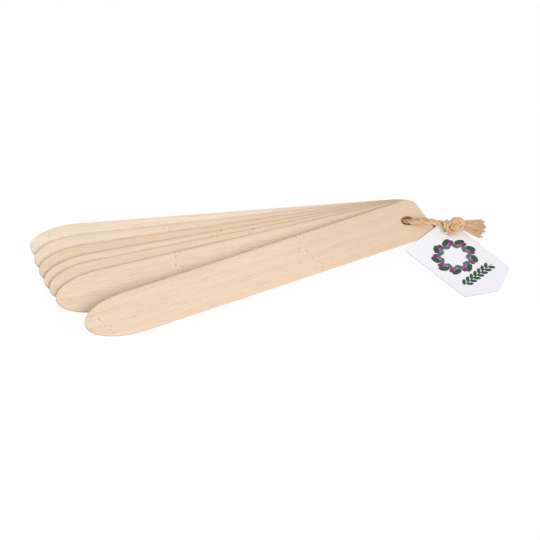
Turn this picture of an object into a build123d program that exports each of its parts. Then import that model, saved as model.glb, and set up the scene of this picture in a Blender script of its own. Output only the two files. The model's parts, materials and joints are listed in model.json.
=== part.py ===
from build123d import *
import math
import os

# Fanned bundle of bamboo plant label stakes, threaded on a loop of twine that
# also carries a card hang tag. Millimetres, +Z up, lying on the plane Z = 0.
# The lowest stake lies along X, with its square end towards +X.

# One stake
stake_length = 250.0
top_stake_length = 245.5
stake_width = 36.4
stake_thickness = 1.4
tip_length = 34.0
end_corner_radius = 6.5
edge_easing = 0.25
hole_diameter = 8.6
hole_to_end = 13.0

# How the stakes lie on each other, from the lowest to the highest
stake_names = ["stake_1", "stake_2", "stake_3", "stake_4", "stake_5", "stake_6", "stake_7"]
fan_angles = [0.0, 3.0, 5.6, 8.1, 9.9, 12.4, 21.0]
tip_rise = 11.0
rise_shares = [0.0, 0.03, 0.06, 0.13, 0.17, 0.21, 1.0]
stake_gap = 0.2
top_stake_gap = 1.1

# Twine
twine_diameter = 2.8
twine_clearance = 0.3
under_clearance = 0.9
lean_heading = -47.3
knot_down_slope = 2.3
knot_across = 2.2
knot_width = 12.4
knot_height = 9.4
knot_rounding = 4.2
resting_gap = 0.3
arc_share = 0.45

# Card hang tag
tag_width = 40.6
tag_side = 56.8
tag_short_side = 54.2
tag_point = 8.8
tag_thickness = 0.4
tag_near_radius = 0.8
tag_far_radius = 3.0
tag_hole_diameter = 6.4
tag_hole_from_side = 6.5
tag_hole_from_top = 8.1
tag_heading = -50.1
tag_dip = 4.7

# Places on the plane Z = 0, from the origin
top_hole_x = 93.8
top_hole_y = 30.1
tag_from_hole_x = 26.2
tag_from_hole_y = -11.9
tag_hole_height = 15.8

# Routes of the twine, chosen by hand: x and y from the top stake's hole, z from the ground
loop_route = [
    (27.6, -11.6, 20.8),
    (19.8, -8.1, 20.2),
    (12.3, -5.9, 19.4),
    (3.74, -4.12, 18.6),
    (-15.59, 17.12, 1.55),
    (-21.9, 20.8, 1.55),
    (-23.5, 26.2, 1.55),
    (-18.6, 29.4, 1.55),
    (-11.0, 27.0, 1.55),
    (0.5, 17.7, 1.55),
    (12.5, 5.2, 2.3),
    (23.4, -8.9, 10.6),
    (28.0, -13.2, 18.6),
]
upper_tail_route = [
    (32.6, -9.9, 20.9),
    (38.0, -10.0, 20.1),
    (43.2, -9.7, 19.0),
    (50.9, -9.3, 17.4),
]
lower_tail_route = [
    (32.2, -12.7, 20.0),
    (36.6, -13.9, 19.4),
    (41.5, -16.0, 18.3),
    (47.2, -18.3, 17.2),
]

# Worked out from the sizes above
pitch = stake_thickness + stake_gap
hole_to_tip = stake_length - hole_to_end
top_hole_to_tip = top_stake_length - hole_to_end
half_width = stake_width / 2
lift = twine_diameter + under_clearance
tilt = math.degrees(math.asin(lift / hole_to_tip))
top_base = (len(stake_names) - 1) * pitch + top_stake_gap


# The steepest lean of a straight strand that still clears the rims of every hole
def strand_lean():
    reach = hole_diameter / 2 - twine_clearance
    radius = twine_diameter / 2
    half = stake_thickness / 2
    square = radius**2 - half**2
    root = math.sqrt((reach * half) ** 2 + square * (reach**2 - radius**2))
    return (root - reach * half) / square


lean = strand_lean()
lean_x = lean * math.cos(math.radians(lean_heading))
lean_y = lean * math.sin(math.radians(lean_heading))


# The sloping plane that the stakes are stacked on, with its origin under the lowest hole
def stack_plane():
    slope = math.radians(tilt)
    x_dir = Vector(math.cos(slope), 0, math.sin(slope))
    z_dir = Vector(-math.sin(slope), 0, math.cos(slope))
    shift = x_dir * (lean_x * top_base) + z_dir * top_base
    origin = Vector(top_hole_x - shift.X, top_hole_y - lean_y * top_base, lift)
    return Plane(origin=origin, x_dir=x_dir, z_dir=z_dir)


stack = stack_plane()


# Plane of one stake's underside, with its origin at the hole and x towards the tip,
# which stands a little higher than the hole on the stakes that don't lie quite flat
def stake_plane(index):
    base = index * pitch
    if index == len(stake_names) - 1:
        base = top_base
    origin = stack.from_local_coords(Vector(lean_x * base, lean_y * base, base))
    turn = math.radians(fan_angles[index])
    rise = math.asin(tip_rise * rise_shares[index] / hole_to_tip)
    level = stack.x_dir * -math.cos(turn) + stack.y_dir * -math.sin(turn)
    to_tip = level * math.cos(rise) + stack.z_dir * math.sin(rise)
    normal = stack.z_dir * math.cos(rise) - level * math.sin(rise)
    return Plane(origin=origin, x_dir=to_tip, z_dir=normal)


# A stake: square end with rounded corners, hole, and long rounded tip, its edges eased
def make_stake(index):
    reach = top_hole_to_tip if index == len(stake_names) - 1 else hole_to_tip
    shoulder = reach - tip_length
    with BuildPart() as stake:
        with BuildSketch(stake_plane(index)) as outline:
            with BuildLine():
                tip = EllipticalCenterArc((shoulder, 0), tip_length, half_width, start_angle=-90, arc_size=180)
                Polyline(tip @ 1, (-hole_to_end, half_width), (-hole_to_end, -half_width), tip @ 0)
            make_face()
            fillet(outline.vertices().group_by(Axis.X)[0], radius=end_corner_radius)
        extrude(amount=stake_thickness)
        rims = stake.faces().sort_by(Axis(stack.origin, stack.z_dir))
        chamfer(rims[0].edges() + rims[-1].edges(), length=edge_easing)
        with BuildSketch(stake_plane(index)):
            Circle(hole_diameter / 2)
        extrude(amount=stake_thickness, mode=Mode.SUBTRACT)
    stake.part.label = stake_names[index]
    return stake.part


# Each corner of a route gets the largest arc that its two runs allow
def corner_radii(route):
    radii = []
    for before, corner, after in zip(route, route[1:], route[2:]):
        arriving = Vector(*corner) - Vector(*before)
        leaving = Vector(*after) - Vector(*corner)
        shorter = min(arriving.length, leaving.length)
        turn = math.radians(arriving.get_angle(leaving))
        radii.append(arc_share * shorter / math.tan(turn / 2))
    return radii


# Round tube along a route, with tangent arcs between its straight runs
def make_tube(name, route):
    points = [Vector(top_hole_x, top_hole_y, 0) + Vector(*point) for point in route]
    radii = corner_radii(route)
    with BuildPart() as tube:
        with BuildLine() as path:
            FilletPolyline(*points, radius=radii)
        wire = path.wires()[0]
        with BuildSketch(Plane(origin=wire @ 0, z_dir=wire % 0)):
            Circle(twine_diameter / 2)
        sweep(path=wire)
    tube.part.label = name
    expected = math.pi * (twine_diameter / 2) ** 2 * wire.length
    print(name, "length", round(wire.length, 1), "radii", [round(radius, 1) for radius in radii])
    print(name, "volume over section times length", round(tube.part.volume / expected, 4))
    return tube.part


# Plane of the tag's underside, with its origin at the tag's hole and x down its slope
def tag_plane():
    heading = math.radians(tag_heading)
    dip = math.radians(tag_dip)
    down = Vector(math.cos(heading) * math.cos(dip), math.sin(heading) * math.cos(dip), -math.sin(dip))
    across = Vector(-math.sin(heading), math.cos(heading), 0)
    origin = Vector(top_hole_x + tag_from_hole_x, top_hole_y + tag_from_hole_y, tag_hole_height)
    return Plane(origin=origin, x_dir=down, z_dir=down.cross(across))


# The knot's outer form, a well-rounded disc lying on the tag over its hole
def make_knot():
    tag = tag_plane()
    seat = tag_thickness + resting_gap + knot_height / 2
    centre = tag.from_local_coords(Vector(knot_down_slope, knot_across, seat))
    with BuildPart(Plane(origin=centre, x_dir=tag.x_dir, z_dir=tag.z_dir)) as knot:
        Cylinder(radius=knot_width / 2, height=knot_height)
        fillet(knot.edges().filter_by(GeomType.CIRCLE), radius=knot_rounding)
    knot.part.label = "twine_knot"
    return knot.part


# Card cut to a blunt point, one side a little shorter, with its hole near a corner of the straight end
def make_tag():
    right = tag_hole_from_side
    left = right - tag_width
    top = -tag_hole_from_top
    bottom = top + tag_side
    middle = (left + right) / 2
    with BuildPart() as tag:
        with BuildSketch(tag_plane()) as outline:
            with BuildLine():
                Polyline((top, left), (top + tag_short_side, left), (bottom + tag_point, middle),
                         (bottom, right), (top, right), close=True)
            make_face()
            fillet(outline.vertices().group_by(Axis.X)[0], radius=tag_near_radius)
            far = [vertex for vertex in outline.vertices() if vertex.X > 0]
            fillet(far, radius=tag_far_radius)
            Circle(tag_hole_diameter / 2, mode=Mode.SUBTRACT)
        extrude(amount=tag_thickness)
    tag.part.label = "hang_tag"
    return tag.part


pieces = [make_stake(index) for index in range(len(stake_names))]
pieces += [
    make_tube("twine_loop", loop_route),
    make_tube("twine_tail_upper", upper_tail_route),
    make_tube("twine_tail_lower", lower_tail_route),
    make_knot(),
    make_tag(),
]

os.makedirs("parts", exist_ok=True)
for piece in pieces:
    export_step(piece, "parts/" + piece.label + ".step")

box = Compound(children=pieces).bounding_box()
print("box", [round(value, 2) for value in (*box.min, *box.max)])
for index, name in enumerate(stake_names):
    place = stake_plane(index)
    print(name, "hole", [round(value, 3) for value in place.origin], "lean", round(lean, 3))
print("stack normal", [round(value, 5) for value in stack.z_dir])
print("tag normal", [round(value, 5) for value in tag_plane().z_dir], "hole", tag_plane().origin)
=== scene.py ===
# %% [markdown]
# # A fanned bundle of bamboo plant labels
#
# Gardeners push these flat bamboo sticks into pots and write the plant's name
# on them. The shop threads them on a loop of twine, ties the loop in a knot,
# and hangs a card tag on it. This file dresses the solid model: it takes the
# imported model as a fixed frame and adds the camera, the light, the real twist
# of the twine, and materials with grain and wear.

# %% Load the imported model
import json
import math
import random

import bpy
from mathutils import Matrix, Vector


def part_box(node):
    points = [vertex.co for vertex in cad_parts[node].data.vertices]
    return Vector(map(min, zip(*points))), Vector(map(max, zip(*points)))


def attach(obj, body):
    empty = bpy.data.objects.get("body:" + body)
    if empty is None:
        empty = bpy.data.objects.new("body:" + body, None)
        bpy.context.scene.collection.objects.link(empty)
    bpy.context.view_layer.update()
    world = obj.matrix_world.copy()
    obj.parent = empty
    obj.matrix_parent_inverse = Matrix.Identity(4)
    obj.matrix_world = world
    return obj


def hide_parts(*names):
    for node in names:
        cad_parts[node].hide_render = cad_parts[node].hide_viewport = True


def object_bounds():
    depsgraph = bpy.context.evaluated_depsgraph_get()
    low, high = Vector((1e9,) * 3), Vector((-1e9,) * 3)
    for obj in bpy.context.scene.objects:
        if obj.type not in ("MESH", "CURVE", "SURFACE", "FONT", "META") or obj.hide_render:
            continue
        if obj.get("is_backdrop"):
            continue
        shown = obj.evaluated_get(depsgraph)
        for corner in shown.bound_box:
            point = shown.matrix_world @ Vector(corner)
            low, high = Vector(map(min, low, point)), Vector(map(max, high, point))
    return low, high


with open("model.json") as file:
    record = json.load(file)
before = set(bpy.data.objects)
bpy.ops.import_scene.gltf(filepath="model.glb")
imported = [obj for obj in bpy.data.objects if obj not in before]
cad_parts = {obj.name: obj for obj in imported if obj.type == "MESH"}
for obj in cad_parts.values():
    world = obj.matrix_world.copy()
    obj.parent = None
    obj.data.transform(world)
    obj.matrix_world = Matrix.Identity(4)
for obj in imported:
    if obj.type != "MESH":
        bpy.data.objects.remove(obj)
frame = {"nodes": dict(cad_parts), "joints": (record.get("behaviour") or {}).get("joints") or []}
cad_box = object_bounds()
MM = 0.001
print("pieces in the frame:", sorted(frame["nodes"]))

# %% [markdown]
# Every step below needs to pick things out, so a few small helpers come first.
# Colours are written as the hex values that one sees on the screen, and are
# turned to linear light here. One helper adds a shader node with its settings
# and its links, so that a material reads as a list. The settings that come
# back in many nodes get short names.

# %% Helpers for selecting, colours and shader nodes
def deselect_all():
    bpy.ops.object.select_all(action="DESELECT")


def colour(text):
    parts = [int(text[i:i + 2], 16) / 255 for i in (1, 3, 5)]
    return tuple(c / 12.92 if c <= 0.04045 else ((c + 0.055) / 1.055) ** 2.4 for c in parts) + (1.0,)


def add(tree, kind, settings=None, **inputs):
    node = tree.nodes.new(kind)
    for name, value in (settings or {}).items():
        setattr(node, name, value)
    for name, value in inputs.items():
        by_number = name[0] == "i" and name[1:].isdigit()
        socket = node.inputs[int(name[1:]) if by_number else name.replace("_", " ")]
        if isinstance(value, bpy.types.NodeSocket):
            tree.links.new(value, socket)
        else:
            socket.default_value = value
    return node.outputs


def new_material(name):
    made = bpy.data.materials.new(name)
    made.use_nodes = True
    made.node_tree.nodes.clear()
    return made, made.node_tree


MATH = "ShaderNodeMath"
VECTOR_MATH = "ShaderNodeVectorMath"
MAP_RANGE = "ShaderNodeMapRange"
TIMES = {"operation": "MULTIPLY"}
TIMES_PLUS = {"operation": "MULTIPLY_ADD"}
MINUS = {"operation": "SUBTRACT"}
LARGER = {"operation": "MAXIMUM"}
WITHOUT_SIGN = {"operation": "ABSOLUTE"}
LENGTH = {"operation": "LENGTH"}
SMOOTH = {"interpolation_type": "SMOOTHSTEP"}
MIX_COLOURS = {"data_type": "RGBA"}

# %% [markdown]
# The photograph looks down on the bundle at 46 degrees through a long lens, so
# its lines hardly converge. The camera stands 2.3 m away. What it looks at is
# a point on the ground near the middle of the fan.

# %% Camera
TARGET = Vector((0.69, 8.7, 0.0)) * MM
AHEAD = Vector((0.0639, 0.6917, -0.7193)).normalized()
CAMERA_DISTANCE = 2.304
camera_data = bpy.data.cameras.new("camera")
camera_data.sensor_width = 36.0
camera_data.lens = 233.33
camera_data.clip_end = 20.0
camera = bpy.data.objects.new("camera", camera_data)
bpy.context.scene.collection.objects.link(camera)
camera.location = TARGET - AHEAD * CAMERA_DISTANCE
camera.rotation_euler = AHEAD.to_track_quat("-Z", "Y").to_euler()
bpy.context.scene.camera = camera
print("camera at", [round(x, 3) for x in camera.location])

# %% [markdown]
# The twine is one length of three-ply cord. It runs from the knot over the top
# stake, down through all the holes, turns under the bundle, and comes up
# beside the square ends, through the tag's hole and into the knot again. Its
# line is a smooth spline that has the points of the solid tube as its control
# points, some of them moved by about two millimetres at most. Two more points
# on the long straight run keep it straight inside the holes, and one beside
# the square ends lets it sag out, so that a short piece shows between the top
# stake's corner and the tag.

# %% Routes of the twine
HOLE = Vector((93.8, 30.1, 0.0))
STRAND_STEP = 0.5 * MM
LOOP_ROUTE = [
    (27.6, -11.6, 20.8), (19.8, -8.0, 20.4), (12.3, -5.6, 19.9), (3.9, -4.2, 19.0),
    (-1.93, 2.11, 13.6), (-11.23, 12.32, 5.4),
    (-15.59, 17.12, 1.55), (-21.9, 20.8, 1.55), (-23.5, 26.2, 1.55), (-18.6, 29.4, 1.55),
    (-11.0, 27.0, 1.55), (0.5, 17.7, 1.55), (12.5, 5.2, 2.3), (17.4, 3.2, 7.6),
    (23.6, -8.0, 12.0), (28.0, -13.2, 18.6),
]
UPPER_TAIL_ROUTE = [(32.6, -9.9, 20.9), (38.0, -10.0, 20.1), (43.2, -9.7, 19.0), (50.9, -9.3, 17.4)]
LOWER_TAIL_ROUTE = [(32.2, -12.7, 20.0), (36.6, -13.9, 19.4), (41.5, -16.0, 18.3), (49.2, -19.0, 17.0)]
print("points in the loop's route:", len(LOOP_ROUTE))

# %% [markdown]
# The points that a spline gives lie closer together where its control points
# do. So the line is walked along and gets new points at equal steps, which
# keeps the rings of every tube evenly spaced.

# %% Even lines
def smooth_line(name, route):
    data = bpy.data.curves.new(name, "CURVE")
    data.dimensions = "3D"
    data.resolution_u = 24
    spline = data.splines.new("NURBS")
    spline.points.add(len(route) - 1)
    for point, place in zip(spline.points, route):
        point.co = (*((HOLE + Vector(place)) * MM), 1.0)
    spline.order_u = 3
    spline.use_endpoint_u = True
    holder = bpy.data.objects.new(name, data)
    line = [vertex.co.copy() for vertex in bpy.data.meshes.new_from_object(holder).vertices]
    bpy.data.objects.remove(holder)
    return line


def length_of(line):
    return sum((b - a).length for a, b in zip(line, line[1:]))


def evenly(line, step):
    count = max(2, round(length_of(line) / step))
    wanted = [length_of(line) * i / count for i in range(count + 1)]
    points, walked, i = [], 0.0, 0
    for target in wanted:
        while i < len(line) - 2 and walked + (line[i + 1] - line[i]).length < target:
            walked += (line[i + 1] - line[i]).length
            i += 1
        run = (line[i + 1] - line[i]).length
        points.append(line[i].lerp(line[i + 1], min(1.0, (target - walked) / run)))
    return points


loop_line = evenly(smooth_line("loop_line", LOOP_ROUTE), STRAND_STEP)
print("loop length mm", round(length_of(loop_line) / MM, 1))

# %% [markdown]
# Every strand of the twine is a thin tube along its own line. The frame that
# carries each ring of the tube is turned along the line without twisting of
# its own, so the tube stays even round the bends. The tube gets a UV map, with
# metres along the strand and the turn round it, so that the fibres can follow
# the strand.

# %% Tubes along a line
def carried_frames(line):
    last = len(line) - 1
    ahead = [(line[min(i + 1, last)] - line[max(i - 1, 0)]).normalized() for i in range(len(line))]
    side = ahead[0].orthogonal().normalized()
    frames = []
    for direction in ahead:
        side = (side - direction * side.dot(direction)).normalized()
        frames.append((side.copy(), direction.cross(side)))
    return frames


def tube_mesh(name, lines, radii, around=10):
    verts, faces, uvs = [], [], []
    for number, (line, radius) in enumerate(zip(lines, radii)):
        start, along = len(verts), 0.0
        lengths = []
        for i, (point, (side, up)) in enumerate(zip(line, carried_frames(line))):
            along += (point - line[i - 1]).length if i else 0.0
            lengths.append(along)
            for k in range(around):
                turn = 2 * math.pi * k / around
                verts.append(point + (side * math.cos(turn) + up * math.sin(turn)) * radius[i])
        for i in range(len(line) - 1):
            for k in range(around):
                a, b = start + i * around + k, start + i * around + (k + 1) % around
                faces.append((a, b, b + around, a + around))
                low, high = k / around, (k + 1) / around
                uvs += [(lengths[i], low + number), (lengths[i], high + number),
                        (lengths[i + 1], high + number), (lengths[i + 1], low + number)]
        end = start + (len(line) - 1) * around
        for ring, order in ((start, range(around - 1, -1, -1)), (end, range(around))):
            faces.append(tuple(ring + k for k in order))
            uvs += [(lengths[0 if ring == start else -1], number + 0.5)] * around
    mesh = bpy.data.meshes.new(name)
    mesh.from_pydata([tuple(v) for v in verts], [], faces)
    layer = mesh.uv_layers.new(name="along")
    for loop, uv in zip(layer.data, uvs):
        loop.uv = uv
    for face in mesh.polygons:
        face.use_smooth = len(face.vertices) == 4
    mesh.update()
    piece = bpy.data.objects.new(name, mesh)
    bpy.context.scene.collection.objects.link(piece)
    return piece


# %% [markdown]
# A rope shows its plies as slanting ridges. Each ply winds round the twine's
# line, once in every lay, and the three touch along the middle. No yarn is
# quite even, so each ply swells and wanders a little. The twine is loose and
# thick where it lies free on top, and pulled thin where it runs through the
# holes, so its half thickness is a short table along its length.

# %% Plies of the loop
PLIES = 3
LAY = 15.0 * MM
PHASE_RANGE = 6.28
UNEVEN_SHARE = 0.05
SLOW_WAVE = 0.9
QUICK_WAVE = 1.7
PLY_OUT_SHARE = 0.52
PLY_RADIUS_SHARE = 0.50
THICKNESS = [
    (0.0, 1.75), (8.0, 1.8), (15.0, 2.1), (20.0, 2.35), (25.0, 2.25), (28.5, 2.0), (31.0, 1.7),
    (36.0, 1.4), (125.0, 1.4), (145.0, 1.6),
]


def ply_lines(line, spread, ply_radius, seed):
    chance = random.Random(seed)
    phases = [chance.random() * PHASE_RANGE for _ in range(PLIES)]
    lines = [[] for _ in range(PLIES)]
    radii = [[] for _ in range(PLIES)]
    along = 0.0
    for i, (point, (side, up)) in enumerate(zip(line, carried_frames(line))):
        along += (point - line[i - 1]).length if i else 0.0
        for ply in range(PLIES):
            turn = 2 * math.pi * (along / LAY + ply / PLIES)
            out = spread(along) * (1 + UNEVEN_SHARE * math.sin(along / MM * SLOW_WAVE + phases[ply]))
            swell = 1 + UNEVEN_SHARE * math.sin(along / MM * QUICK_WAVE + phases[ply] * 2)
            lines[ply].append(point + (side * math.cos(turn) + up * math.sin(turn)) * out)
            radii[ply].append(ply_radius(along) * swell)
    return lines, radii


def radius_at(along):
    for (a, low), (b, high) in zip(THICKNESS, THICKNESS[1:]):
        if along <= b * MM:
            return (low + (high - low) * max(0.0, along / MM - a) / (b - a)) * MM
    return THICKNESS[-1][1] * MM


lines, radii = ply_lines(loop_line, lambda s: PLY_OUT_SHARE * radius_at(s),
                         lambda s: PLY_RADIUS_SHARE * radius_at(s), seed=4)
loop = tube_mesh("loop_plies", lines, radii)
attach(loop, "twine")
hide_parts("twine_loop")
print("plies in the loop:", len(lines))

# %% [markdown]
# The knot is an overhand knot tied in both ends at once. From outside one sees two fat wraps that hug each
# other, one round the lower left and one over the upper right, and short strands stacked between them. The
# wraps are laid in a frame that looks at the knot's face: along the twine, up across the face, and out of it.
# Nothing may sink into the card below, so a point that would lie too low is lifted to the knot's floor.

# %% Frame and strands of the knot
knot_low, knot_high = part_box("twine_knot")
KNOT = (knot_low + knot_high) / 2
KNOT_UP = Vector((0.053, -0.063, 0.997)).normalized()
KNOT_AXIS = Vector((0.985, -0.1, -0.1))
KNOT_AXIS = (KNOT_AXIS - KNOT_UP * KNOT_AXIS.dot(KNOT_UP)).normalized()
KNOT_SIDE = KNOT_UP.cross(KNOT_AXIS)
FACE_UP = (KNOT_SIDE * 0.72 + KNOT_UP * 0.69).normalized()
FACE_OUT = KNOT_AXIS.cross(FACE_UP).normalized()
LEFT_WRAP = [
    (-6.4, 1.9, 0.2), (-5.7, 0.6, 1.2), (-5.2, -1.4, 1.9), (-4.4, -3.5, 2.1), (-2.3, -4.7, 2.1),
    (0.2, -4.5, 2.1), (2.4, -3.2, 1.9), (3.4, -1.0, 0.8), (2.4, 1.0, -1.0), (-0.6, 1.8, -2.2),
    (-3.4, 0.8, -1.8), (-4.6, -1.2, -0.6),
]
RIGHT_WRAP = [
    (-3.6, 0.4, 1.2), (-2.2, 2.4, 2.2), (-0.4, 4.1, 2.3), (2.0, 4.5, 2.3), (4.3, 3.7, 2.3),
    (5.0, 1.6, 1.9), (4.4, -0.8, 0.6), (2.4, -2.0, -1.2), (-0.6, -1.2, -2.4), (-3.0, 1.0, -1.8),
]
STACKED = [
    [(-2.3, -1.8, 2.4), (-1.7, -0.1, 3.6), (-1.0, 1.4, 3.6), (-0.1, 2.8, 2.6)],
    [(-0.9, -2.3, 2.5), (-0.2, -0.5, 4.1), (0.6, 1.2, 4.1), (1.5, 2.7, 2.9)],
    [(0.8, -2.3, 2.4), (1.5, -0.6, 4.0), (2.3, 0.9, 4.0), (3.1, 2.1, 2.8)],
    [(-5.6, -0.4, 1.0), (-4.2, 0.8, 2.6), (-3.3, 1.8, 2.9), (-2.2, 3.0, 2.2)],
]
print("knot's middle mm", [round(x / MM, 1) for x in KNOT])

# %% [markdown]
# Each strand of the knot is twine of the same three plies, so it is made by
# the same two helpers. The two wraps are fat, because the twine is loose
# there, and the stacked strands are slimmer.

# %% Knot
FAT = 1.75
SLIM = 1.15
KNOT_FLOOR = 3.1
WRAP_OUT_SHARE = 0.5
WRAP_RADIUS_SHARE = 0.56
FIRST_WRAP_SEED = 9


def knot_line(name, spots):
    route = []
    for along, up, out in spots:
        spot = KNOT_AXIS * along + FACE_UP * up + FACE_OUT * out
        spot -= KNOT_UP * min(0.0, spot.dot(KNOT_UP) + KNOT_FLOOR)
        route.append(KNOT / MM + spot - HOLE)
    return evenly(smooth_line(name, route), STRAND_STEP)


lines, radii = [], []
strands = [(LEFT_WRAP, FAT), (RIGHT_WRAP, FAT)] + [(spots, SLIM) for spots in STACKED]
for number, (spots, fat) in enumerate(strands):
    plies, thick = ply_lines(knot_line("wrap_line", spots), lambda s: WRAP_OUT_SHARE * fat * MM,
                             lambda s: WRAP_RADIUS_SHARE * fat * MM, FIRST_WRAP_SEED + number)
    lines += plies
    radii += thick
knot = tube_mesh("knot_wraps", lines, radii)
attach(knot, "twine")
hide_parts("twine_knot")
print("plies in the knot:", len(lines))

# %% [markdown]
# The two short ends are frayed: a few millimetres past the knot the plies open
# and spread like a brush. Each end is made of locks of fibre that start
# together and part further out. The locks end unevenly, and one fibre of each
# lock is thinner and strays from it. Over the card the brush stays flat, so
# that it never dips into it. Widths, heights and radii are in millimetres, and
# a name that ends in share is a part of a whole, such as the end's length.

# %% Sizes of a frayed end
LOCKS = 11
FIBRES_IN_LOCK = 16
FIBRE_SIDES = 4
BRUSH_STEP = 1.0 * MM
AIM_SCATTER_SHARE = 0.12
LOWEST_LOCK = -0.9
HIGHEST_LOCK = 1.0
LOCK_SHORTER_SHARE = 0.14
FIBRE_SHORTER_SHARE = 0.07
LOCK_BEND = 0.5
STRAY_PULL = 2.4
STRAY_THIN_SHARE = 0.6
OPENS_AT_SHARE = 0.15
OPENING_POWER = 1.2
CLOSED_HALF_WIDTH = 1.35
LOCK_HALF_WIDTH = 0.55
LOCK_TAPER = 0.15
LOCK_HALF_HEIGHT = 0.45
PULL_ACROSS = 0.45
PULL_UP = 0.2
RIPPLE = 0.14
RIPPLES = 8
LOWEST_FIBRE = -1.15
FIBRE_RADIUS = 0.28
FIBRE_TAPER = 0.10
print("fibres in one end:", LOCKS * FIBRES_IN_LOCK)

# %% [markdown]
# Every fibre is followed from the knot outwards. At each step it gets a place
# across the end and a height above it. These come from its lock, from its own
# place in the lock, and from a ripple and a bend that grow towards the free
# end.

# %% Frayed ends
def frayed_end(name, route, width, inward, seed):
    chance = random.Random(seed)
    line = evenly(smooth_line(name + "_line", route), BRUSH_STEP)
    total = len(line) - 1
    fibres, radii = [], []
    for lock in range(LOCKS):
        aim = (lock + 0.5) / LOCKS * 2 - 1 + chance.uniform(-AIM_SCATTER_SHARE, AIM_SCATTER_SHARE)
        height = chance.uniform(LOWEST_LOCK, HIGHEST_LOCK) * (1 - 0.5 * abs(aim))
        lock_reach = 1.0 - LOCK_SHORTER_SHARE * chance.random()
        bend = chance.uniform(-LOCK_BEND, LOCK_BEND) * MM
        for fibre_number in range(FIBRES_IN_LOCK):
            stray = fibre_number == 0
            spot, turn = math.sqrt(chance.random()), chance.random() * 2 * math.pi
            reach = lock_reach - FIBRE_SHORTER_SHARE * chance.random()
            wave = chance.random() * PHASE_RANGE
            pull = chance.uniform(-1, 1) * (STRAY_PULL if stray else 1.0)
            fibre, thick = [], []
            for i in range(total + 1):
                share = i / total * reach
                where = share * total
                low = min(int(where), total - 1)
                point = line[low].lerp(line[low + 1], where - low)
                opened = max(0.0, share - OPENS_AT_SHARE) ** OPENING_POWER
                across = aim * (CLOSED_HALF_WIDTH * MM * (1 - opened) + width / 2 * opened)
                in_lock = math.cos(turn) * spot * (LOCK_HALF_WIDTH - LOCK_TAPER * share) * MM
                across += in_lock + pull * PULL_ACROSS * MM * opened
                across += (RIPPLE * math.sin(wave + share * RIPPLES) * MM + bend) * share + inward * opened
                above = (height * (0.9 - 0.3 * opened) + math.sin(turn) * spot * LOCK_HALF_HEIGHT) * MM
                above += pull * PULL_UP * MM * opened
                side = KNOT_UP.cross((line[low + 1] - line[low]).normalized())
                fibre.append(point + side * across + KNOT_UP * max(above, LOWEST_FIBRE * MM))
                radius = (FIBRE_RADIUS - FIBRE_TAPER * share) * MM
                thick.append(radius * (STRAY_THIN_SHARE if stray else 1.0))
            fibres.append(fibre)
            radii.append(thick)
    piece = tube_mesh(name, fibres, radii, around=FIBRE_SIDES)
    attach(piece, "twine")
    print(name, "fibres:", len(fibres))
    return piece


upper_end = frayed_end("upper_frayed_end", UPPER_TAIL_ROUTE, width=11.6 * MM, inward=-0.8 * MM, seed=21)
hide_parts("twine_tail_upper")
lower_end = frayed_end("lower_frayed_end", LOWER_TAIL_ROUTE, width=11.2 * MM, inward=0.8 * MM, seed=33)
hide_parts("twine_tail_lower")

# %% [markdown]
# The fibres of bamboo run along each stake, and every stake of the fan points
# another way. So the pattern is worked out in each stake's own directions,
# along, across and through, measured from its hole. The joint of a stake gives
# its hole and the direction through it, and the fan's angle gives the rest.
# A Mapping node of the texture kind turns the coordinates into that frame.

# %% Directions of a stake
FAN = [0.0, 3.0, 5.6, 8.1, 9.9, 12.4, 21.0]
INTO_FRAME = {"vector_type": "TEXTURE"}


def stake_axes(number):
    joint = next(j for j in frame["joints"] if j["child"] == f"stake_{number}")
    normal = Vector(joint["axis"]).normalized()
    turn = math.radians(FAN[number - 1])
    along = Vector((-math.cos(turn), -math.sin(turn), 0.0))
    along = (along - normal * along.dot(normal)).normalized()
    return Vector(joint["pos_m"]), along, normal.cross(along), normal


def stake_frame(tree, number):
    place, along, across, normal = stake_axes(number)
    turn = tuple(Matrix((along, across, normal)).transposed().to_euler())
    raw = add(tree, "ShaderNodeTexCoord")
    own = add(tree, "ShaderNodeMapping", INTO_FRAME, Vector=raw["Object"],
              Location=tuple(place), Rotation=turn)[0]
    facing = add(tree, "ShaderNodeMapping", INTO_FRAME, Vector=raw["Normal"], Rotation=turn)[0]
    return own, facing


print("stake 7 points along", [round(x, 3) for x in stake_axes(7)[1]])

# %% [markdown]
# Grain is noise that is squeezed across the fibre and left long along it. The
# same pattern with other lengths and widths gives the broad bands of a culm
# wall, its fibres, and the finest streaks. Each stake gets its own seed, so no
# two stakes look alike.

# %% Grain
def streaks(tree, own, length_mm, width_mm, depth, seed):
    squeezed = add(tree, "ShaderNodeMapping", Vector=own, Location=(seed * 3.7, seed * 1.3, seed * 5.1),
                   Scale=(1000 / length_mm, 1000 / width_mm, 1000 / width_mm))[0]
    return add(tree, "ShaderNodeTexNoise", Vector=squeezed, Scale=1.0, Detail=depth, Roughness=0.55)["Fac"]


# %% [markdown]
# Every 15 cm or so a node of the cane crosses the strip. It shows as a row of
# small brown dots, which are cut vessels, on a slightly wavy line. The strip
# is cut into cells across its width, and each cell gets one dot, at a random
# place and of a random size. What is handed on is how far a point lies from
# the dot, as a share of the dot's size.

# %% Rows of dots at the nodes of the cane
NODE_AT = [222.8, 149.0, 127.0, 118.0, 97.0, 152.6, 73.2]
NODE_SPACING = 149.0
NODE_WANDER = 5.0
WAVES_PER_METRE = 130.0
SMALLEST_DOT = 0.12
DOT_GROWTH = 0.38


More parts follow.
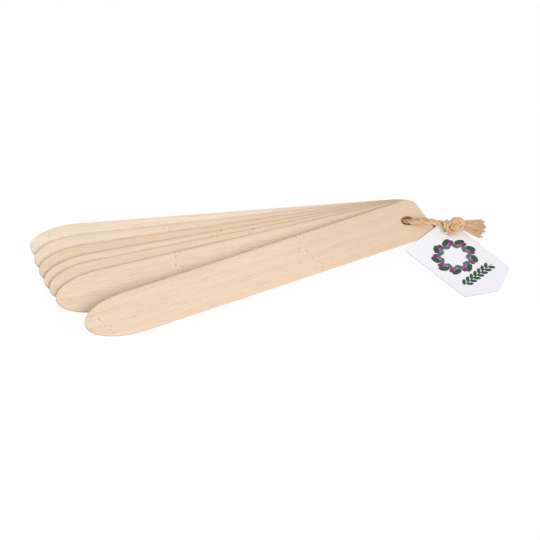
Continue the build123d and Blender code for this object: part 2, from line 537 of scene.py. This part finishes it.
def from_nearest_node(tree, spot, number):
    wave_at = add(tree, MATH, TIMES, i0=spot["Y"], i1=WAVES_PER_METRE)[0]
    wander = add(tree, "ShaderNodeTexNoise", {"noise_dimensions": "1D"}, W=wave_at,
                 Scale=1.0, Detail=1.0)["Fac"]
    half = NODE_SPACING * MM / 2
    shifted = add(tree, MATH, MINUS, i0=spot["X"], i1=NODE_AT[number - 1] * MM - half)[0]
    within = add(tree, MATH, {"operation": "FLOORED_MODULO"}, i0=shifted, i1=NODE_SPACING * MM)[0]
    centred = add(tree, MATH, MINUS, i0=within, i1=half + NODE_WANDER * MM / 2)[0]
    return add(tree, MATH, TIMES_PLUS, i0=wander, i1=NODE_WANDER * MM, i2=centred)[0]


def from_nearest_dot(tree, spot, from_node, spacing, scatter, seed):
    cell = add(tree, MATH, TIMES, i0=spot["Y"], i1=1 / (spacing * MM))[0]
    cell_number = add(tree, MATH, {"operation": "FLOOR"}, i0=cell)[0]
    cell_seed = add(tree, "ShaderNodeCombineXYZ", X=cell_number, Y=float(seed))[0]
    chance = add(tree, "ShaderNodeTexWhiteNoise", {"noise_dimensions": "2D"}, Vector=cell_seed)["Color"]
    pick = add(tree, "ShaderNodeSeparateColor", Color=chance)
    in_cell = add(tree, MATH, {"operation": "FRACT"}, i0=cell)[0]
    dot_across = add(tree, MATH, TIMES_PLUS, i0=pick["Red"], i1=0.4, i2=0.3)[0]
    off_across = add(tree, MATH, MINUS, i0=in_cell, i1=dot_across)[0]
    off_across = add(tree, MATH, TIMES, i0=off_across, i1=spacing * MM)[0]
    dot_along = add(tree, MATH, MINUS, i0=pick["Green"], i1=0.5)[0]
    off_along = add(tree, MATH, TIMES_PLUS, i0=dot_along, i1=scatter * MM, i2=from_node)[0]
    off = add(tree, "ShaderNodeCombineXYZ", X=off_across, Y=off_along)[0]
    far = add(tree, VECTOR_MATH, LENGTH, i0=off)["Value"]
    size = add(tree, MATH, TIMES_PLUS, i0=pick["Blue"], i1=DOT_GROWTH * MM, i2=SMALLEST_DOT * MM)[0]
    return add(tree, MATH, {"operation": "DIVIDE"}, i0=far, i1=size)[0]


# %% [markdown]
# Bamboo strip is pale and planed smooth. Its sawn sides are darker and browner, and so is a band on the face
# along its long edges: both are painted shade. The wall of the drilled hole is browner too, and so is a thin
# ring round its rim. Each stake is also a little darker towards its hole end than at the tip. The colour is
# built up in layers: each row of the list below says which pattern it follows, over what range of it the
# layer comes and goes, how strongly, and in what colour. The finest fibres are drawn at 0.5 mm, so that they
# show.

# %% Bamboo
TONES = ["#fce9d3", "#f6dfc5", "#f1d6ba", "#f5dcc1", "#f1d7bb", "#f4dac0", "#f1d9c0"]
DOT_EDGE = (0.5, 1.3)
DOT_DEPTH = -0.8


def bamboo(number):
    made, tree = new_material(f"planed_bamboo_{number}")
    own, facing = stake_frame(tree, number)
    spot = add(tree, "ShaderNodeSeparateXYZ", Vector=own)
    flat = add(tree, "ShaderNodeSeparateXYZ", Vector=facing)
    bands = streaks(tree, own, 150.0, 7.0, 2.0, number)
    fibres = streaks(tree, own, 38.0, 0.9, 2.0, number + 11)
    fine = streaks(tree, own, 12.0, 0.5, 1.0, number + 23)
    flecks = streaks(tree, own, 7.0, 0.5, 0.0, number + 37)
    from_node = from_nearest_node(tree, spot, number)
    near_dots = from_nearest_dot(tree, spot, from_node, 1.9, 3.0, number)
    far_dots = from_nearest_dot(tree, spot, from_node, 2.7, 9.0, number + 20)
    dots = add(tree, MATH, {"operation": "MINIMUM"}, i0=near_dots, i1=far_dots)[0]
    seam = add(tree, MATH, WITHOUT_SIGN, i0=from_node)[0]
    upright = add(tree, MATH, WITHOUT_SIGN, i0=flat["Z"])[0]
    from_middle = add(tree, MATH, WITHOUT_SIGN, i0=spot["Y"])[0]
    from_axis = add(tree, "ShaderNodeCombineXYZ", X=spot["X"], Y=spot["Y"])[0]
    from_hole = add(tree, VECTOR_MATH, LENGTH, i0=from_axis)["Value"]
    layers = [
        (bands, (0.35, 0.80), (0.0, 0.45), "#e4c6a4"),
        (bands, (0.42, 0.20), (0.0, 0.45), "#f8e8d3"),
        (fibres, (0.50, 0.80), (0.0, 0.30), "#d2ac84"),
        (fibres, (0.42, 0.22), (0.0, 0.25), "#f9ecd9"),
        (fine, (0.52, 0.78), (0.0, 0.28), "#c79f77"),
        (flecks, (0.72, 0.80), (0.0, 0.36), "#b98f66"),
        (seam, (0.4 * MM, 1.8 * MM), (0.15, 0.0), "#f8e7cf"),
        (dots, DOT_EDGE, (0.76, 0.0), "#8a6340"),
        # Painted shade: a darker band on the face along the stake's long edges.
        (from_middle, (15.4 * MM, 18.0 * MM), (0.0, 0.30), "#dcb991"),
        # Darker towards the hole end, fading out 110 mm from the hole.
        (spot["X"], (0.0, 110 * MM), (0.50, 0.0), "#dcc0a2"),
        # Painted shade: the sawn sides, which face across the stake, are darker and browner.
        (upright, (0.35, 0.9), (0.75, 0.0), "#c39c76"),
        # The wall of the hole and a thin ring round its rim are browner.
        (from_hole, (4.3 * MM, 5.1 * MM), (0.40, 0.0), "#a87a4c"),
        (from_hole, (4.32 * MM, 4.42 * MM), (1.0, 0.0), "#c89a6c"),
    ]
    tint = colour(TONES[number - 1])
    for pattern, (start, end), (first, last), shade in layers:
        share = add(tree, MAP_RANGE, SMOOTH, Value=pattern, From_Min=start, From_Max=end,
                    To_Min=first, To_Max=last)[0]
        tint = add(tree, "ShaderNodeMix", MIX_COLOURS, i0=share, i6=tint, i7=colour(shade))[2]
    pits = add(tree, MAP_RANGE, SMOOTH, Value=dots, From_Min=DOT_EDGE[0], From_Max=DOT_EDGE[1],
               To_Min=DOT_DEPTH, To_Max=0.0)[0]
    height = add(tree, MATH, TIMES_PLUS, i0=fine, i1=0.35, i2=pits)[0]
    height = add(tree, MATH, TIMES_PLUS, i0=fibres, i1=0.5, i2=height)[0]
    bump = add(tree, "ShaderNodeBump", Height=height, Strength=0.35, Distance=0.25 * MM)[0]
    rough = add(tree, MAP_RANGE, SMOOTH, Value=fibres, From_Min=0.25, From_Max=0.75,
                To_Min=0.50, To_Max=0.64)[0]
    shader = add(tree, "ShaderNodeBsdfPrincipled", Base_Color=tint, Roughness=rough, Normal=bump, IOR=1.48)
    add(tree, "ShaderNodeOutputMaterial", Surface=shader[0])
    return made


for number in range(1, len(FAN) + 1):
    stake = frame["nodes"][f"stake_{number}"]
    stake.data.materials.clear()
    stake.data.materials.append(bamboo(number))
print("bamboo on", len(FAN), "stakes, nodes every", NODE_SPACING, "mm")

# %% [markdown]
# The twine is spun from a warm brown bast fibre such as jute. Its surface is
# matt, and the fibres follow each ply, so the pattern reads the ply's own UV
# map: long and thin along the ply. The fibres vary from dark to much paler,
# and whole patches of the twine are a little redder. A weak sheen stands for
# the fuzz.

# %% Twine
def spun_twine():
    made, tree = new_material("spun_jute")
    uv = add(tree, "ShaderNodeUVMap", {"uv_map": "along"})[0]
    stretched = add(tree, "ShaderNodeMapping", Vector=uv, Scale=(1000 / 5.0, 9.0, 1.0))[0]
    fibre = add(tree, "ShaderNodeTexNoise", Vector=stretched, Scale=1.0, Detail=3.0, Roughness=0.6)["Fac"]
    patch = add(tree, "ShaderNodeMapping", Vector=uv, Scale=(1000 / 9.0, 1.2, 1.0))[0]
    patches = add(tree, "ShaderNodeTexNoise", Vector=patch, Scale=1.0, Detail=1.0)["Fac"]
    shades = add(tree, "ShaderNodeValToRGB", Fac=fibre)["Color"]
    stops = tree.nodes[-1].color_ramp.elements
    stops[0].position, stops[0].color = 0.28, colour("#a97c54")
    stops[1].position, stops[1].color = 0.72, colour("#e8cda9")
    stops.new(0.5).color = colour("#cfa882")
    redder = add(tree, MAP_RANGE, Value=patches, From_Min=0.45, From_Max=0.75, To_Min=0.0, To_Max=0.45)[0]
    tint = add(tree, "ShaderNodeMix", MIX_COLOURS, i0=redder, i6=shades, i7=colour("#cb9e76"))[2]
    bump = add(tree, "ShaderNodeBump", Height=fibre, Strength=0.6, Distance=0.3 * MM)[0]
    shader = add(tree, "ShaderNodeBsdfPrincipled", Base_Color=tint, Roughness=0.9, Normal=bump, IOR=1.45,
                 Sheen_Weight=0.25, Sheen_Roughness=0.5)
    add(tree, "ShaderNodeOutputMaterial", Surface=shader[0])
    return made


jute = spun_twine()
for piece in (loop, knot, upper_end, lower_end):
    piece.data.materials.append(jute)
print("jute on 4 pieces")

# %% [markdown]
# The tag is white card. It has a faint cool tone and a slightly rough, uncoated surface. Its cut edge is
# greyer, and the face has a painted shade that darkens it towards the point, as on a card that isn't quite
# flat. The joint of the tag gives its hole and the direction through it, and its heading and dip give the two
# directions on its face.

# %% Card
tag_joint = next(j for j in frame["joints"] if j["child"] == "tag")
TAG_HOLE = Vector(tag_joint["pos_m"])
TAG_NORMAL = Vector(tag_joint["axis"]).normalized()
TAG_HEADING, TAG_DIP = math.radians(-50.1), math.radians(4.7)
LEVEL_SHARE = math.cos(TAG_DIP)
TAG_DOWN = Vector((math.cos(TAG_HEADING) * LEVEL_SHARE, math.sin(TAG_HEADING) * LEVEL_SHARE,
                   -math.sin(TAG_DIP)))
TAG_ACROSS = TAG_NORMAL.cross(TAG_DOWN)
DARKEST_DOWN = 45.0
DOT_PRODUCT = {"operation": "DOT_PRODUCT"}


def white_card():
    made, tree = new_material("uncoated_white_card")
    raw = add(tree, "ShaderNodeTexCoord")
    spot = raw["Object"]
    pulp = add(tree, "ShaderNodeTexNoise", Vector=spot, Scale=700.0, Detail=2.0)["Fac"]
    cloud = add(tree, "ShaderNodeTexNoise", Vector=spot, Scale=60.0, Detail=1.0)["Fac"]
    from_hole = add(tree, VECTOR_MATH, MINUS, i0=spot, i1=tuple(TAG_HOLE))[0]
    down = add(tree, VECTOR_MATH, DOT_PRODUCT, i0=from_hole, i1=tuple(TAG_DOWN))["Value"]
    level = add(tree, VECTOR_MATH, DOT_PRODUCT, i0=raw["Normal"], i1=tuple(TAG_NORMAL))["Value"]
    level = add(tree, MATH, WITHOUT_SIGN, i0=level)[0]
    # Painted shade: the face darkens down the card towards the point.
    darker = add(tree, MAP_RANGE, Value=down, From_Min=0.0, From_Max=DARKEST_DOWN * MM)[0]
    cut_edge = add(tree, MATH, {"operation": "LESS_THAN"}, i0=level, i1=0.5)[0]
    tint = colour("#f0eff3")
    for share, shade in ((cloud, "#eeedf1"), (darker, "#e7e6ec"), (cut_edge, "#aaa7a8")):
        tint = add(tree, "ShaderNodeMix", MIX_COLOURS, i0=share, i6=tint, i7=colour(shade))[2]
    bump = add(tree, "ShaderNodeBump", Height=pulp, Strength=0.12, Distance=0.1 * MM)[0]
    shader = add(tree, "ShaderNodeBsdfPrincipled", Base_Color=tint, Roughness=0.62, Normal=bump, IOR=1.5)
    add(tree, "ShaderNodeOutputMaterial", Surface=shader[0])
    return made


tag = frame["nodes"]["hang_tag"]
tag.data.materials.clear()
tag.data.materials.append(white_card())
print("tag's hole mm", [round(x / MM, 1) for x in TAG_HOLE])

# %% [markdown]
# The face of the tag is printed. Each printed shape is a flat piece of ink
# that lies just above the card. Three shapes are enough: a disc, a leaf, which
# is a disc with its two ends pulled out to points, and a thin ring, which is a
# disc with its middle deleted. They are modelled flat at the origin, and moved
# to the card when they are copied.

# %% Shapes of ink
LEAF_END_SHARE = 0.49
LEAF_PULL_SHARE = 0.22


def disc(name, long_mm, wide_mm, corners=24):
    deselect_all()
    bpy.ops.mesh.primitive_circle_add(vertices=corners, radius=MM, fill_type="NGON", location=(0.0, 0.0, 0.0))
    shape = bpy.context.object
    shape.name = name
    bpy.ops.object.mode_set(mode="EDIT")
    bpy.ops.mesh.select_all(action="SELECT")
    bpy.ops.transform.resize(value=(long_mm / 2, wide_mm / 2, 1.0), center_override=(0.0, 0.0, 0.0))
    bpy.ops.object.mode_set(mode="OBJECT")
    return shape


def pointed_leaf(name, long_mm, wide_mm):
    shape = disc(name, long_mm, wide_mm)
    for end in (-1, 1):
        for vertex in shape.data.vertices:
            vertex.select = vertex.co.x * end > LEAF_END_SHARE * long_mm * MM
        for face in shape.data.polygons:
            face.select = False
        bpy.ops.object.mode_set(mode="EDIT")
        bpy.ops.transform.translate(value=(end * LEAF_PULL_SHARE * long_mm * MM, 0.0, 0.0))
        bpy.ops.object.mode_set(mode="OBJECT")
    return shape


def thin_ring(name, radius_mm, wide_mm):
    deselect_all()
    bpy.ops.mesh.primitive_circle_add(vertices=64, radius=radius_mm * MM, fill_type="NGON",
                                      location=(0.0, 0.0, 0.0))
    shape = bpy.context.object
    shape.name = name
    bpy.ops.object.mode_set(mode="EDIT")
    bpy.ops.mesh.select_all(action="SELECT")
    bpy.ops.mesh.inset(thickness=wide_mm * MM)
    bpy.ops.mesh.delete(type="FACE")
    bpy.ops.object.mode_set(mode="OBJECT")
    return shape


# %% [markdown]
# One shape of a kind is modelled, and the rest are copies. Places are measured
# on the card, from its hole: down the card, and across it. Where two colours
# overlap, the one that is printed later lies a hundredth of a millimetre
# higher. The ink is half matt, and lets a little of the card through in specks.

# %% Copies on the card, and inks
INK_ABOVE = 0.23
INK_STEP = 0.01
INKS = {"dark_green": "#1c4529", "grey_green": "#426b58", "purple": "#7d1f70", "light_purple": "#a03f90"}


def printed(down, across, turn=0.0):
    place = TAG_HOLE + (TAG_DOWN * down + TAG_ACROSS * across + TAG_NORMAL * INK_ABOVE) * MM
    card = Matrix((TAG_DOWN, TAG_ACROSS, TAG_NORMAL)).transposed().to_4x4()
    return Matrix.Translation(place) @ card @ Matrix.Rotation(turn, 4, "Z")


def print_copies(name, layer, shape, places, ink):
    raised = Matrix.Translation(TAG_NORMAL * (layer * INK_STEP * MM))
    copies = []
    for place in places:
        copy = bpy.data.objects.new(name, shape.data.copy())
        bpy.context.scene.collection.objects.link(copy)
        copy.data.transform(raised @ place)
        copies.append(copy)
    deselect_all()
    for copy in copies:
        copy.select_set(True)
    bpy.context.view_layer.objects.active = copies[0]
    if len(copies) > 1:
        bpy.ops.object.join()
    piece = bpy.context.view_layer.objects.active
    piece.name = name
    bpy.data.objects.remove(shape)
    piece.data.materials.append(inks[ink])
    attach(piece, "tag")
    print(name, "copies:", len(places))


def printing_ink(name, shade):
    made, tree = new_material(f"printing_ink_{name}")
    spot = add(tree, "ShaderNodeTexCoord")["Object"]
    speck = add(tree, "ShaderNodeTexNoise", Vector=spot, Scale=2500.0, Detail=1.0)["Fac"]
    worn = add(tree, MAP_RANGE, Value=speck, From_Min=0.60, From_Max=0.8, To_Min=0.0, To_Max=0.12)[0]
    tint = add(tree, "ShaderNodeMix", MIX_COLOURS, i0=worn, i6=colour(shade), i7=colour("#e8e6ea"))[2]
    shader = add(tree, "ShaderNodeBsdfPrincipled", Base_Color=tint, Roughness=0.5, IOR=1.5)
    add(tree, "ShaderNodeOutputMaterial", Surface=shader[0])
    return made


inks = {name: printing_ink(name, shade) for name, shade in INKS.items()}

# %% [markdown]
# The print is a small wreath: leaves in two greens, and berries in two
# purples, on a thin ring. The wreath goes round in nine equal steps. Each row
# of the list says what is printed at every step: how far on from the step it
# lies, how far out from the ring, and how it is tilted from the ring's own
# direction.

# %% Wreath
MIDDLE = -13.8
WREATH_DOWN = 18.0
WREATH_RADIUS = 11.2
RING_WIDTH = 0.7
WREATH_STEPS = 9
WREATH = [
    ("printed_dark_leaves", pointed_leaf, (7.0, 4.0), 0.0, 1.9, 0.55, "dark_green"),
    ("printed_grey_leaves", pointed_leaf, (5.8, 3.1), 0.3, -1.9, -0.6, "grey_green"),
    ("printed_berries", disc, (3.6, 3.6, 16), 0.62, 1.3, 0.0, "purple"),
    ("printed_small_berries", disc, (2.6, 2.6, 16), 0.82, -1.2, 0.0, "light_purple"),
]


def on_ring(share, outward, tilt):
    angle = 2 * math.pi * share
    radius = WREATH_RADIUS + outward
    down, across = WREATH_DOWN + radius * math.cos(angle), MIDDLE + radius * math.sin(angle)
    return printed(down, across, angle + math.pi / 2 + tilt)


ring = thin_ring("ring", WREATH_RADIUS, RING_WIDTH)
print_copies("printed_ring", 0, ring, [printed(WREATH_DOWN, MIDDLE)], "grey_green")
for layer, (name, make, sizes, later, outward, tilt, ink) in enumerate(WREATH, start=1):
    places = [on_ring((i + later) / WREATH_STEPS, outward, tilt) for i in range(WREATH_STEPS)]
    print_copies(name, layer, make("one_of_them", *sizes), places, ink)

# %% [markdown]
# Below the wreath lies a sprig: a long thin stem across the card, with small
# leaves on both sides of it, which lean the same way and are set a little
# apart along the stem, as leaves grow.

# %% Sprig
SPRIG_DOWN = 38.8
SPRIG_PAIRS = 7
SPRIG_STEP = 3.5
SPRIG_STEM = (28.0, 0.8)
SPRIG_LEAF = (4.6, 2.4)
SPRIG_LEAF_OUT = 1.9
SPRIG_SHIFT_SHARE = 0.25
SPRIG_LEAN = 0.75


def on_sprig(number, side):
    across = MIDDLE + SPRIG_STEP * (number - (SPRIG_PAIRS - 1) / 2 + side * SPRIG_SHIFT_SHARE)
    return printed(SPRIG_DOWN + side * SPRIG_LEAF_OUT, across, math.pi / 2 - side * SPRIG_LEAN)


stem_place = printed(SPRIG_DOWN, MIDDLE, math.pi / 2)
print_copies("printed_sprig_stem", 0, disc("stem", *SPRIG_STEM), [stem_place], "dark_green")
leaf_places = [on_sprig(i, side) for i in range(SPRIG_PAIRS) for side in (-1, 1)]
print_copies("printed_sprig_leaves", 1, pointed_leaf("leaf", *SPRIG_LEAF), leaf_places, "dark_green")

# %% [markdown]
# The bundle lies on a plain pale sheet in soft studio light. The background is
# white, and that comes from the sheet's and the room's own colour as the
# camera, a mirror or a glass would see it, never from more light on the
# bundle. So both ask what kind of ray looks at them.

# %% Floor and room
FLOOR_SIZE = 6.0
PLAIN_SHARE = 0.95
ROOM_LIGHT = 0.58


def seen_directly(tree):
    rays = add(tree, "ShaderNodeLightPath")
    direct = add(tree, MATH, LARGER, i0=rays["Is Camera Ray"], i1=rays["Is Glossy Ray"])[0]
    return add(tree, MATH, LARGER, i0=direct, i1=rays["Is Transmission Ray"])[0]


deselect_all()
bpy.ops.mesh.primitive_plane_add(size=FLOOR_SIZE, location=(0.0, 0.0, 0.0))
floor = bpy.context.object
floor.name = "floor"
paper, tree = new_material("pale_paper")
white = add(tree, "ShaderNodeBsdfDiffuse", Color=colour("#f6f6f6"))[0]
plain = add(tree, "ShaderNodeEmission", Color=(1.0, 1.0, 1.0, 1.0), Strength=1.0)[0]
share = add(tree, MATH, TIMES, i0=seen_directly(tree), i1=PLAIN_SHARE)[0]
sheet = add(tree, "ShaderNodeMixShader", i0=share, i1=white, i2=plain)[0]
add(tree, "ShaderNodeOutputMaterial", Surface=sheet)
floor.data.materials.append(paper)
floor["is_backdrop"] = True

world = bpy.data.worlds.new("soft_room")
bpy.context.scene.world = world
world.use_nodes = True
sky = world.node_tree
sky.nodes.clear()
strength = add(sky, MAP_RANGE, Value=seen_directly(sky), To_Min=ROOM_LIGHT, To_Max=1.0)[0]
room = add(sky, "ShaderNodeBackground", Color=(1.0, 1.0, 1.0, 1.0), Strength=strength)[0]
add(sky, "ShaderNodeOutputWorld", Surface=room)
print("room's light on the bundle:", ROOM_LIGHT)

# %% [markdown]
# One large soft lamp stands in front and to the right, above the bundle, so
# each stake throws a thin shadow on the one below it. It is wide, so the
# shadows have soft edges. The pale room fills them.

# %% Lamp
LAMP_PLACE = Vector((0.80, -1.84, 1.52))
LAMP_WIDTH = 1.15
LAMP_WATTS = 46.0
lamp_data = bpy.data.lights.new("main_lamp", "AREA")
lamp_data.shape = "DISK"
lamp_data.size = LAMP_WIDTH
lamp_data.energy = LAMP_WATTS
lamp = bpy.data.objects.new("main_lamp", lamp_data)
bpy.context.scene.collection.objects.link(lamp)
lamp.location = LAMP_PLACE
lamp.rotation_euler = (-LAMP_PLACE).to_track_quat("-Z", "Y").to_euler()
bpy.context.scene.view_settings.view_transform = "Standard"
print("lamp's distance m", round(LAMP_PLACE.length, 2))

# %% Print both boxes and finish
dressed_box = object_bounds()
sizes = {"cad": [list(corner) for corner in cad_box], "dressed": [list(corner) for corner in dressed_box]}
print("sizes in mm", {k: [[round(x / MM, 1) for x in corner] for corner in v] for k, v in sizes.items()})
